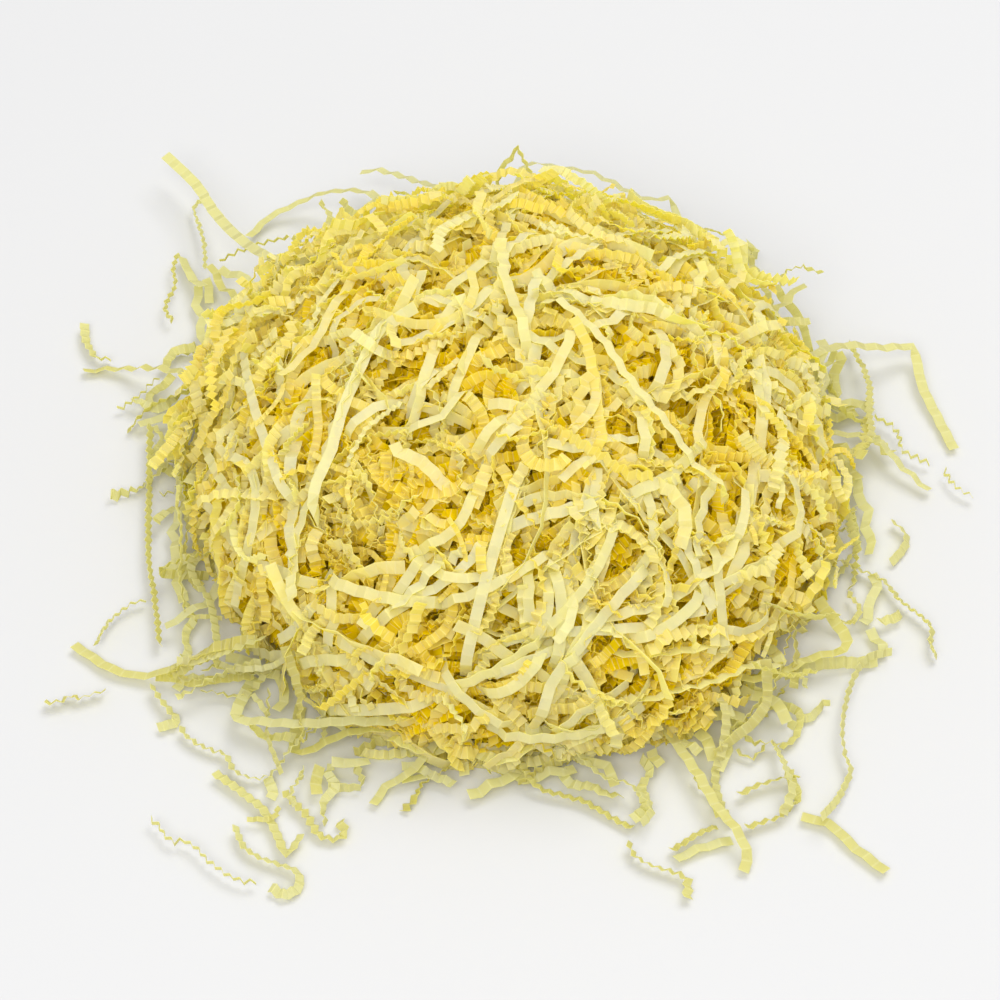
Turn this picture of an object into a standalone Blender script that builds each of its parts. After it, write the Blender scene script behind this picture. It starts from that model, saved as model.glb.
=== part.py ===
"""A loose heap of crinkle-cut paper strips, the filler of an Easter basket.

The heap is one soft tangle of strips, held here by three stacked layers, with the strips that
lie free on it and around it as separate pieces.  It rests on the plane z = 0 and its overall
box is centred over the origin.  Lengths are in metres; routes are listed in millimetres.
"""

import math

import bmesh
import bpy
import numpy as np

MM = 0.001

# One strip of the paper.
STRIP_WIDTH = 3.2 * MM
PAPER_THICKNESS = 0.12 * MM
FOLD_SPACING = 3.8 * MM
FOLD_DEPTH = 0.7 * MM

# The tangle: a squashed dome, drawn in where it meets the floor.
TANGLE_CENTRE = (-1.5 * MM, 3.0 * MM)
TANGLE_RADIUS = 69.0 * MM
TANGLE_DEPTH_RATIO = 0.985
TANGLE_HEIGHT = 49.5 * MM
FOOT_RADIUS = 61.0 * MM
WAIST_HEIGHT = 11.0 * MM
LAYER_GAP = 0.3 * MM
LOWER_TOP = 17.0 * MM
MIDDLE_TOP = 34.0 * MM
PROFILE_STEPS = 6
TURN_STEPS = 32

PALE_YELLOW = (0.90, 0.82, 0.36, 1.0)
DEEP_YELLOW = (0.84, 0.66, 0.17, 1.0)
PAPER_ROUGHNESS = 0.62

# Every free strip: how far its width leans out of the level at its two ends, in degrees (0 lies
# flat, 90 stands on edge), and the places that its middle line passes through, in millimetres.
STRIPS = {
    # Strips lying over the crown of the heap.
    "strip_crown_1": (10, 25, [(8, 10, 60.5), (17, 1, 59.5), (23, -9, 57.5), (28, -15, 55),
        (34, -22, 51.5), (38, -26, 47), (44, -28, 42.5)]),
    "strip_crown_2": (10, 10, [(1, 3, 57), (10, -2, 56.5), (19, -6, 54.5), (26, -11, 52)]),
    "strip_crown_3": (20, 5, [(-4, 25, 55.5), (-1, 12, 57.5), (1, 2, 61)]),
    "strip_crown_4": (15, 5, [(-29, 9, 54), (-37, -10, 50.5), (-40, -21, 47), (-44, -31, 41.5)]),
    "strip_crown_5": (0, 10, [(-27, -54, 33.5), (-21, -52, 38.5), (-17, -48, 42)]),
    "strip_crown_6": (20, 10, [(23, -61, 27), (31, -59, 25), (40, -55, 22)]),
    "strip_crown_7": (30, 20, [(26, -66, 17.5), (34, -63, 17.5), (42, -59, 15), (50, -53, 12.5),
        (57, -50, 9)]),
    "strip_crown_8": (5, 5, [(34, 34, 47.5), (45, 54, 30.5), (52, 55, 32)]),
    # Strips that reach out at the back left.
    "strip_back_left_1": (0, 15, [(-46, 51, 30), (-53, 54, 26), (-60, 63, 20), (-67, 73, 16),
        (-73, 84, 13), (-78, 95, 11), (-86, 106, 10)]),
    "strip_back_left_2": (80, 60, [(-77, 98, 2.5), (-79, 95, 2.5), (-76, 84, 3), (-75, 74, 4)]),
    "strip_back_left_3": (70, 80, [(-82, 79, 3), (-83, 74, 3), (-82, 69, 3), (-84, 62, 3), (-82, 57, 3)]),
    "strip_back_left_4": (40, 10, [(-81, 79, 2), (-78, 71, 3), (-75, 66, 6)]),
    "strip_back_left_5": (60, 70, [(-65, 85, 3), (-61, 91, 3), (-56, 94, 4), (-51, 95, 6), (-47, 94, 9),
        (-39, 91, 13), (-33, 85, 16), (-32, 80, 16)]),
    "strip_back_left_6": (75, 60, [(-71, 71, 9), (-67, 73, 10), (-61, 75, 11), (-54, 75, 13),
        (-50, 69, 16)]),
    # Strips along the back edge.
    "strip_back_1": (20, 10, [(-38, 102, 8), (-34, 101, 10), (-26, 94, 14), (-19, 86, 19), (-13, 78, 24)]),
    "strip_back_2": (30, 20, [(1, 88, 22), (4, 93, 20), (10, 95, 17), (18, 95, 15), (24, 92, 14),
        (31, 88, 13), (38, 90, 10)]),
    "strip_back_3": (80, 60, [(0, 84, 34), (-1, 83, 32), (-4, 84, 26)]),
    # Strips along the left edge.
    "strip_left_1": (20, 60, [(-103, 57, 2), (-102, 51, 2), (-99, 46, 2), (-96, 46, 2)]),
    "strip_left_2": (30, 10, [(-102, 42, 1.5), (-98, 43, 1.5), (-92, 42, 3), (-82, 37, 8)]),
    "strip_left_3": (80, 60, [(-93, 30, 2), (-88, 34, 3), (-84, 38, 4)]),
    "strip_left_4": (60, 70, [(-85, 23, 4), (-84, 2, 3), (-83, -15, 3), (-81, -26, 3), (-79, -40, 3)]),
    # Strips that reach out to the right.
    "strip_right_1": (10, 0, [(70, 37, 14), (77, 42, 11), (86, 44, 8), (93, 47, 5), (94, 44, 4),
        (95, 36, 3), (98, 27, 2), (101, 18, 1.5)]),
    "strip_right_2": (50, 20, [(79, 50, 3), (82, 35, 6), (81, 24, 8), (80, 13, 10)]),
    "strip_right_3": (85, 80, [(83, 27, 3), (88, 23, 2.5), (89, 17, 2.5), (95, 13, 2.5)]),
    "strip_right_4": (80, 60, [(98, 11, 2.5), (100, 6, 2.5), (104, 3, 2.5)]),
    "strip_right_5": (15, 30, [(82, 17, 6), (88, 11, 4), (94, 5, 2)]),
    "strip_right_6": (50, 50, [(85, -4, 2), (88, -8, 2), (87, -12, 2), (84, -16, 2)]),
    # Strips on the floor at the front left.
    "strip_front_left_1": (15, 20, [(-98, -39, 1.5), (-93, -43, 1.5), (-89, -46, 2), (-82, -48, 2),
        (-74, -48, 6)]),
    "strip_front_left_2": (70, 60, [(-93, -40, 3), (-91, -34, 2.5), (-87, -29, 2.5), (-83, -27, 2.5)]),
    "strip_front_left_3": (40, 60, [(-103, -55, 2), (-100, -55, 2), (-97, -53, 2), (-96, -54, 2),
        (-90, -52, 2)]),
    "strip_front_left_4": (60, 20, [(-80, -51, 2.5), (-77, -56, 2.5), (-74, -60, 2), (-78, -62, 2)]),
    "strip_front_left_5": (50, 50, [(-73, -62, 2), (-71, -65, 2), (-66, -68, 2), (-63, -69, 2),
        (-61, -73, 2), (-58, -75, 2), (-54, -75, 2), (-51, -72, 3), (-49, -70, 5)]),
    "strip_front_left_6": (20, 40, [(-65, -74, 2), (-59, -79, 2), (-54, -84, 2), (-51, -90, 2),
        (-49, -95, 2), (-46, -90, 2)]),
    "strip_front_left_7": (30, 30, [(-50, -79, 2), (-45, -85, 2), (-42, -90, 1.5), (-37, -90, 1.5),
        (-38, -86, 1.5)]),
    "strip_front_left_8": (50, 30, [(-60, -88, 2), (-58, -93, 2), (-54, -96, 2), (-47, -99, 2),
        (-46, -103, 2), (-49, -105, 2), (-52, -103, 2)]),
    "strip_front_left_9": (85, 80, [(-78, -86, 2.5), (-73, -92, 2.5), (-70, -92, 2.5), (-63, -99, 2.5),
        (-58, -102, 2.5), (-55, -102, 2.5)]),
    "strip_front_left_10": (30, 50, [(-73, -19, 5), (-68, -31, 6), (-66, -42, 6), (-65, -48, 5)]),
    "strip_front_left_11": (60, 60, [(-80, -22, 6), (-73, -20, 9), (-66, -20, 10), (-65, -21, 9)]),
    "strip_front_left_12": (15, 0, [(-61, -61, 5), (-55, -64, 7), (-46, -66, 9), (-36, -66, 10),
        (-26, -67, 12)]),
    "strip_front_left_13": (20, 20, [(-48, -69, 3), (-42, -68, 4.5), (-36, -66, 6), (-22, -65, 8)]),
    # Strips on the floor at the front.
    "strip_front_1": (10, 10, [(-31, -82, 1.5), (-28, -77, 2), (-23, -75, 4)]),
    "strip_front_2": (30, 30, [(2, -76, 4), (6, -79, 2.5), (13, -81, 2), (18, -84, 1.5), (24, -88, 1.5)]),
    "strip_front_3": (30, 60, [(17, -77, 6), (23, -79, 5.5), (28, -85, 5), (26, -89, 5)]),
    "strip_front_4": (60, 30, [(23, -92, 2), (25, -96, 2), (31, -99, 2), (35, -101, 2), (35, -106, 2)]),
    # Strips on the floor at the front right.
    "strip_front_right_1": (5, 20, [(38, -76, 5), (42, -85, 5), (46, -91, 5), (48, -96, 3),
        (47, -99, 1.5)]),
    "strip_front_right_2": (20, 40, [(44, -62, 10), (44, -69, 7), (42, -75, 2), (43, -82, 2),
        (45, -87, 2)]),
    "strip_front_right_3": (20, 10, [(33, -96, 1.5), (38, -93, 1.5), (45, -91, 1.5)]),
    "strip_front_right_4": (30, 30, [(32, -94, 2), (39, -89, 2), (42, -88, 2)]),
    "strip_front_right_5": (30, 50, [(48, -88, 2), (51, -87, 2), (56, -85, 2)]),
    "strip_front_right_6": (60, 40, [(55, -66, 2), (57, -75, 5.5), (58, -81, 5.5), (56, -85, 2.5)]),
    "strip_front_right_7": (30, 60, [(47, -80, 2.5), (50, -78, 2.5), (55, -76, 2.5), (60, -75, 2.5)]),
    "strip_front_right_8": (70, 60, [(82, -42, 3), (76, -45, 4), (72, -53, 4), (70, -62, 4), (70, -69, 3),
        (71, -74, 3), (68, -81, 3), (64, -88, 6)]),
    "strip_front_right_9": (10, 15, [(60, -85, 1.5), (66, -87, 1.5), (70, -92, 1.5), (73, -95, 1.5),
        (77, -99, 1.5)]),
    "strip_front_right_10": (40, 70, [(81, -21, 2.5), (85, -27, 2.5), (91, -34, 2.5), (91, -40, 2.5),
        (92, -43, 2.5)]),
    "strip_front_right_11": (20, 20, [(52, -54, 9), (64, -46, 6), (72, -44, 8)]),
}


def clear_scene():
    """Remove every object that the scene starts with."""
    for thing in list(bpy.data.objects):
        bpy.data.objects.remove(thing, do_unlink=True)


def paper(name, colour):
    """Matt, lightly glowing paper of one colour."""
    material = bpy.data.materials.new(name)
    material.use_nodes = True
    shader = material.node_tree.nodes["Principled BSDF"]
    shader.inputs["Base Color"].default_value = colour
    shader.inputs["Roughness"].default_value = PAPER_ROUGHNESS
    shader.inputs["Metallic"].default_value = 0.0
    return material


def add_object(name, mesh, material, collection):
    """Put a mesh into the collection as a named object with its material."""
    mesh.materials.append(material)
    thing = bpy.data.objects.new(name, mesh)
    collection.objects.link(thing)
    return thing


def dome_radius(height):
    """Radius of the tangle at a height: an ellipse above the waist, a smooth tuck below it."""
    crown = TANGLE_RADIUS * math.sqrt(max(0.0, 1.0 - (height / TANGLE_HEIGHT) ** 2))
    if height >= WAIST_HEIGHT:
        return crown
    tuck = (1.0 - height / WAIST_HEIGHT) ** 2
    return crown - (TANGLE_RADIUS - FOOT_RADIUS) * tuck


def layer_profile(bottom, top):
    """Half outline of one layer, from the middle of its top down its outer side to its bottom."""
    side = []
    for step in range(PROFILE_STEPS + 1):
        share = step / PROFILE_STEPS
        if top >= TANGLE_HEIGHT:
            share = math.sin(share * math.pi / 2)
            height = top + (bottom - top) * (1.0 - math.sqrt(1.0 - share ** 2))
        else:
            height = top + (bottom - top) * share
        side.append((dome_radius(height), height))
    middle = [(0.0, top)] if side[0][0] > 0 else []
    return middle + side + [(0.0, bottom)]


def build_layer(name, bottom, top, collection):
    """One layer of the tangle: its half outline turned about the heap's upright middle line."""
    outline = layer_profile(bottom, top)
    mesh = bpy.data.meshes.new(name)
    points = [(radius, 0.0, height) for radius, height in outline]
    edges = [(index, index + 1) for index in range(len(points) - 1)]
    mesh.from_pydata(points, edges, [])
    layer = add_object(name, mesh, paper(name, DEEP_YELLOW), collection)
    turn = layer.modifiers.new("turn", "SCREW")
    turn.axis = "Z"
    turn.steps = TURN_STEPS
    turn.render_steps = TURN_STEPS
    turn.use_merge_vertices = True
    turn.merge_threshold = 0.00001
    turn.use_smooth_shade = True
    layer.location = (TANGLE_CENTRE[0], TANGLE_CENTRE[1], 0.0)
    layer.scale = (1.0, TANGLE_DEPTH_RATIO, 1.0)
    return layer


def smooth_path(points, stations):
    """Even stations along a smooth curve (Catmull-Rom) through the given places."""
    padded = np.vstack([2 * points[0] - points[1], points, 2 * points[-1] - points[-2]])
    share = np.linspace(0.0, 1.0, 12, endpoint=False)[:, None]
    pieces = []
    for index in range(len(points) - 1):
        before, start, end, after = padded[index:index + 4]
        pieces.append(0.5 * (2 * start + (end - before) * share
                             + (2 * before - 5 * start + 4 * end - after) * share ** 2
                             + (3 * start - before - 3 * end + after) * share ** 3))
    curve = np.vstack(pieces + [points[-1:]])
    steps = np.linalg.norm(np.diff(curve, axis=0), axis=1)
    travelled = np.concatenate([[0.0], np.cumsum(steps)])
    wanted = np.linspace(0.0, travelled[-1], stations)
    return np.stack([np.interp(wanted, travelled, curve[:, axis]) for axis in range(3)], axis=1)


def unit(vectors):
    """Each row scaled to length one."""
    return vectors / np.linalg.norm(vectors, axis=1, keepdims=True)


def ribbon_edges(places, lean_start, lean_end):
    """The two long edges of a folded strip: its path, stepped up and down at every fold."""
    points = np.array(places, dtype=float) * MM
    length = np.linalg.norm(np.diff(points, axis=0), axis=1).sum()
    stations = max(4, int(round(length / FOLD_SPACING)) + 1)
    middle = smooth_path(points, stations)
    along = unit(np.gradient(middle, axis=0))
    level = unit(np.cross(along, (0.0, 0.0, 1.0)))
    upward = np.cross(level, along)
    lean = np.radians(np.linspace(lean_start, lean_end, stations))[:, None]
    across = level * np.cos(lean) + upward * np.sin(lean)
    outward = upward * np.cos(lean) - level * np.sin(lean)
    fold = np.where(np.arange(stations) % 2, 0.5, -0.5)[:, None] * FOLD_DEPTH
    middle = middle + outward * fold
    half = across * STRIP_WIDTH / 2
    return middle - half, middle + half


def build_strip(name, lean_start, lean_end, places, collection):
    """One free strip: an open folded ribbon, thickened to a sheet of paper."""
    near, far = ribbon_edges(places, lean_start, lean_end)
    build = bmesh.new()
    pairs = [(build.verts.new(a), build.verts.new(b)) for a, b in zip(near, far)]
    for (near_0, far_0), (near_1, far_1) in zip(pairs, pairs[1:]):
        build.faces.new((near_0, near_1, far_1, far_0))
    mesh = bpy.data.meshes.new(name)
    build.to_mesh(mesh)
    build.free()
    strip = add_object(name, mesh, paper(name, PALE_YELLOW), collection)
    sheet = strip.modifiers.new("sheet", "SOLIDIFY")
    sheet.thickness = PAPER_THICKNESS
    sheet.offset = 0.0
    return strip


def main():
    clear_scene()
    heap = bpy.data.collections.new("easter_basket_filler")
    bpy.context.scene.collection.children.link(heap)

    build_layer("tangle_lower", 0.0, LOWER_TOP, heap)
    build_layer("tangle_middle", LOWER_TOP + LAYER_GAP, MIDDLE_TOP, heap)
    build_layer("tangle_upper", MIDDLE_TOP + LAYER_GAP, TANGLE_HEIGHT, heap)

    for name, (lean_start, lean_end, places) in STRIPS.items():
        build_strip(name, lean_start, lean_end, places, heap)


main()
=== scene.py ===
import math

import bpy
import numpy as np
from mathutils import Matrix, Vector


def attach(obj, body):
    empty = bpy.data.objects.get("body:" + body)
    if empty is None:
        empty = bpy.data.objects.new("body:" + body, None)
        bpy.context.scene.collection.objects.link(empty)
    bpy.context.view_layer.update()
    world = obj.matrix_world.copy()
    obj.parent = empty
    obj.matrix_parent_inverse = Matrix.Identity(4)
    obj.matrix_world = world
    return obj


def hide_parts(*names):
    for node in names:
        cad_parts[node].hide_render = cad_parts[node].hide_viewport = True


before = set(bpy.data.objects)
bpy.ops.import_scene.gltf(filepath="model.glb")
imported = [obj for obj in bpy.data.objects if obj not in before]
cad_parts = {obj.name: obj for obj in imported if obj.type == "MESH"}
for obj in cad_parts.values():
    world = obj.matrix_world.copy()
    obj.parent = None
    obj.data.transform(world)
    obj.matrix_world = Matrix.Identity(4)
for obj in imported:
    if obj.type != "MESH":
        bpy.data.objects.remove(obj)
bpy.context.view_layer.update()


# --- Camera -----------------------------------------------------------------------------------
# A long lens looks down on the heap from its front, at 50 degrees above the floor.

MM = 0.001
CAMERA_ELEVATION = math.radians(50.0)
CAMERA_DISTANCE = 0.80
CAMERA_LENS = 125.8
AIM = Vector((-4.0 * MM, 4.0 * MM, 0.0))

lens = bpy.data.cameras.new("camera")
lens.lens = CAMERA_LENS
lens.sensor_width = 36.0
lens.clip_start = 0.01
camera = bpy.data.objects.new("camera", lens)
bpy.context.scene.collection.objects.link(camera)
away = Vector((0.0, -math.cos(CAMERA_ELEVATION), math.sin(CAMERA_ELEVATION)))
camera.location = AIM + away * CAMERA_DISTANCE
camera.rotation_euler = (math.pi / 2 - CAMERA_ELEVATION, 0.0, 0.0)
bpy.context.scene.camera = camera


# --- The tangle -------------------------------------------------------------------------------
# The body of the heap: thin yellow paper slit into narrow ribbons and pushed through a crimping
# box, so that every ribbon is folded to and fro.  Tipped out of its bag, it lies in a soft dome.

PAPER_THICKNESS = 0.12 * MM

# The dome's middle and radii.  Below its waist it tucks in by up to a share of its radius.  The
# middle of a strip stays clear of the floor, and no edge of its paper comes lower than LOWEST.
HEAP_CENTRE = np.array([0.5, 4.0, 0.0]) * MM
HEAP_RADII = np.array([74.0, 79.0, 57.5]) * MM
FOOT_TUCK = 0.10
WAIST_HEIGHT = 12.0 * MM
FLOOR_CLEARANCE = 1.0 * MM
LOWEST = 0.1 * MM

# Hollows in the heap's surface: x, y, radius and depth in millimetres.  Between them it goes up and
# down in slow waves along x, along y and along the diagonal.
HOLLOWS = np.array([(28, 44, 10, 7), (-16, -18, 9, 4), (-48, 22, 8, 5), (-5, -56, 8, 3.5),
                    (30, -8, 8, 3.5), (-34, -40, 9, 3), (52, -38, 9, 3.5), (4, 20, 7, 2.5)]) * MM
HOLLOW_SPREAD = 0.6
WAVE_DEPTH = 1.3 * MM
WAVES = np.array([11.0, 13.0, 8.0]) * MM


def unit(vectors):
    """Each vector divided by its own length."""
    return vectors / np.maximum(np.linalg.norm(vectors, axis=-1, keepdims=True), 1e-12)


def heap_level(points):
    """How far out a point lies: the length of its offset from the heap's middle, each axis divided
    by the heap's radius there.  1 is the surface.  Below the waist the two level radii shrink with
    the square of the drop."""
    offset = (points - HEAP_CENTRE) / HEAP_RADII
    drop = np.clip(1.0 - points[..., 2] / WAIST_HEIGHT, 0.0, 1.0)
    offset[..., :2] /= (1.0 - FOOT_TUCK * drop ** 2)[..., None]
    return np.linalg.norm(offset, axis=-1)


def heap_normal(points):
    """The outward direction: each axis of the offset divided by the square of its radius."""
    offset = (points - HEAP_CENTRE) / HEAP_RADII ** 2
    offset[..., 2] = np.maximum(offset[..., 2], 0.0) + 1e-9
    return unit(offset)


def surface_dip(points):
    """Depth that the surface is sunk by.  Slow waves are a sine along x times a sine along y, plus
    a sine along the diagonal.  Each of HOLLOWS adds a bell curve, as wide as a share of its
    radius."""
    x, y, z = points[..., 0], points[..., 1], points[..., 2]
    waves = np.sin(x / WAVES[0] + 1.3) * np.sin(y / WAVES[1] + 0.4)
    waves = waves + 0.6 * np.sin((x + y + z) / WAVES[2])
    dip = WAVE_DEPTH * waves
    for at_x, at_y, radius, depth in HOLLOWS:
        away = ((x - at_x) ** 2 + (y - at_y) ** 2) / (radius * HOLLOW_SPREAD) ** 2
        dip = dip + depth * np.exp(-away / 2)
    return dip


# The slant that the paper takes on the left and on the right, in degrees about the vertical, and
# the stretch of x over which the one goes over into the other.
SLANTS = (62.0, 127.0)
SLANT_CHANGE = (15.0 * MM, 65.0 * MM)


def lie_of_paper(place):
    """The way that strips tend to run, as an angle about the vertical: one slant over the left and
    the front, then by a smooth step to the other slant on the right."""
    left, right = SLANTS
    start, end = SLANT_CHANGE
    ease = np.clip((place[:, 0] - start) / (end - start), 0.0, 1.0)
    return np.radians(left + (right - left) * ease * ease * (3.0 - 2.0 * ease))


# The share of strips that keep to the lie of the paper and how far they stray from it, in radians;
# how much their turning changes in a metre; the length of one sway in and out and how far a springy
# tip stands out, in millimetres; how hard and at most how steeply a strip heads for its own depth.
KEEPING_SHARE = 0.45
KEEPING_SPREAD = 0.5
TURN_CHANGE = 50.0
SWAY_LENGTHS = (14.0, 44.0)
TIP_RISES = (3.0, 13.0)
STEERING = 130.0
STEEPEST = 1.1


def heap_paths(chance, step, depth, kink, turn_rate, sway_size, around=(0.0, 180.0),
               rises=(0.02, 1.0), springy=0.4):
    """Middle lines of many strips at once, from step[strip, station] lengths.  Every line starts
    at a random place on the heap, in the sector given by around, its middle and half its width in
    degrees, and at a share of the heap's height out of rises.  It takes one step per fold; its
    heading turns at a random, slowly changing rate with a small kink at each fold, is laid level
    with the heap's surface there, and is nudged in or out to keep its own depth, which sways along
    the strip.  The tips of a springy share of the strips spring outwards."""
    count, stations = step.shape
    round_about = np.radians(around[0] + chance.uniform(-around[1], around[1], count))
    rise = chance.uniform(*rises, count)
    flat = np.sqrt(1.0 - rise ** 2)
    place = np.stack([flat * np.cos(round_about), flat * np.sin(round_about), rise], axis=1)
    place = HEAP_CENTRE + place * (HEAP_RADII - depth[:, None])
    slant = lie_of_paper(place) + chance.normal(0.0, KEEPING_SPREAD, count)
    slant = np.where(chance.random(count) < KEEPING_SHARE, slant, chance.uniform(0.0, np.pi, count))
    slant = slant + np.pi * chance.integers(0, 2, count)
    heading = np.stack([np.cos(slant), np.sin(slant), np.zeros(count)], axis=1)
    turn = chance.normal(0.0, turn_rate, count)
    turn_change = chance.normal(0.0, turn_rate * TURN_CHANGE, count)
    sway = chance.uniform(0.0, 1.0, count) ** 1.5 * sway_size
    sway_length = chance.uniform(*SWAY_LENGTHS, count) * MM
    sway_start = chance.uniform(0.0, 2 * np.pi, count)
    tip_rise = np.where(chance.random(count) < springy, chance.uniform(*TIP_RISES, count), 0.0) * MM
    total = step.sum(axis=1)
    travelled = np.zeros(count)
    line = []
    for index in range(stations):
        line.append(place)
        out = heap_normal(place)
        ahead = step[:, index]
        wanted = depth + sway * np.sin(travelled / sway_length * 2 * np.pi + sway_start)
        wanted = wanted + surface_dip(place) - tip_rise * (travelled / total) ** 3
        actual = (1.0 - heap_level(place)) * np.linalg.norm(place - HEAP_CENTRE, axis=1)
        correction = np.clip((actual - wanted) * STEERING, -STEEPEST, STEEPEST)
        level = unit(heading - out * np.sum(heading * out, axis=1, keepdims=True))
        side = np.cross(out, level)
        angle = (turn + turn_change * (travelled - total / 2)) * ahead + kink[:, index]
        level = level * np.cos(angle)[:, None] + side * np.sin(angle)[:, None]
        heading = unit(level + out * correction[:, None])
        place = place + heading * ahead[:, None]
        place[:, 2] = np.maximum(place[:, 2], FLOOR_CLEARANCE)
        travelled = travelled + ahead
    return np.stack(line, axis=1)


def strip_corners(middle, out, lean, fold, skew, width, thickness):
    """Four corners of the paper at every station: the middle line stepped along the paper's face
    direction by the fold and across it by the fold times the skew, then half a width to each side
    and half a thickness to each face.  The face direction is the outward one turned about the line
    by the lean."""
    along = unit(np.gradient(middle, axis=-2))
    side = unit(np.cross(along, out))
    upright = np.cross(side, along)
    lean = lean[..., None]
    across = side * np.cos(lean) + upright * np.sin(lean)
    face = np.cross(along, across)
    centre = middle + (face + across * skew[:, None, None]) * fold[..., None]
    across = across * (width / 2)[..., None, None]
    face = face * (thickness / 2)
    return np.stack([centre - across - face, centre + across - face,
                     centre + across + face, centre - across + face], axis=-2)


def ribbon_mesh(name, corners, shade):
    """A mesh of closed four-sided ribbons from corners[strip, station, corner]: one quad per side
    per fold, and a quad at each end.  UV: 0 to 1 across the paper, and one unit per fold along.
    shade[strip, station] runs from 0, pale, to 1, deep."""
    strips, stations = corners.shape[:2]
    point = np.arange(strips * stations * 4).reshape(strips, stations, 4)
    near, far = point[:, :-1], point[:, 1:]
    following = np.roll(np.arange(4), -1)
    sides = np.stack([near, near[..., following], far[..., following], far], axis=-1)
    first = point[:, 0, ::-1]
    last = point[:, -1]
    faces = np.concatenate([sides.reshape(-1, 4), first, last])
    mesh = bpy.data.meshes.new(name)
    mesh.vertices.add(point.size)
    mesh.vertices.foreach_set("co", corners.ravel())
    mesh.loops.add(faces.size)
    mesh.loops.foreach_set("vertex_index", faces.ravel())
    mesh.polygons.add(len(faces))
    mesh.polygons.foreach_set("loop_start", np.arange(0, faces.size, 4))
    mesh.update(calc_edges=True)
    mesh.shade_flat()
    u = np.broadcast_to([0.0, 1.0, 1.0, 0.0], point.shape)
    v = np.broadcast_to(np.arange(stations)[None, :, None], point.shape)
    places = np.stack([u, v], axis=-1).reshape(-1, 2)[faces.ravel()]
    mesh.uv_layers.new(name="along_strip").uv.foreach_set("vector", places.ravel())
    tone = mesh.attributes.new("shade", "FLOAT", "POINT")
    tone.data.foreach_set("value", np.repeat(shade.ravel(), 4))
    return mesh


def place_piece(name, mesh, material):
    """A finished piece at the origin, riding on the heap's one body."""
    mesh.materials.append(material)
    piece = bpy.data.objects.new(name, mesh)
    bpy.context.scene.collection.objects.link(piece)
    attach(piece, "root")
    return piece


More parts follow.
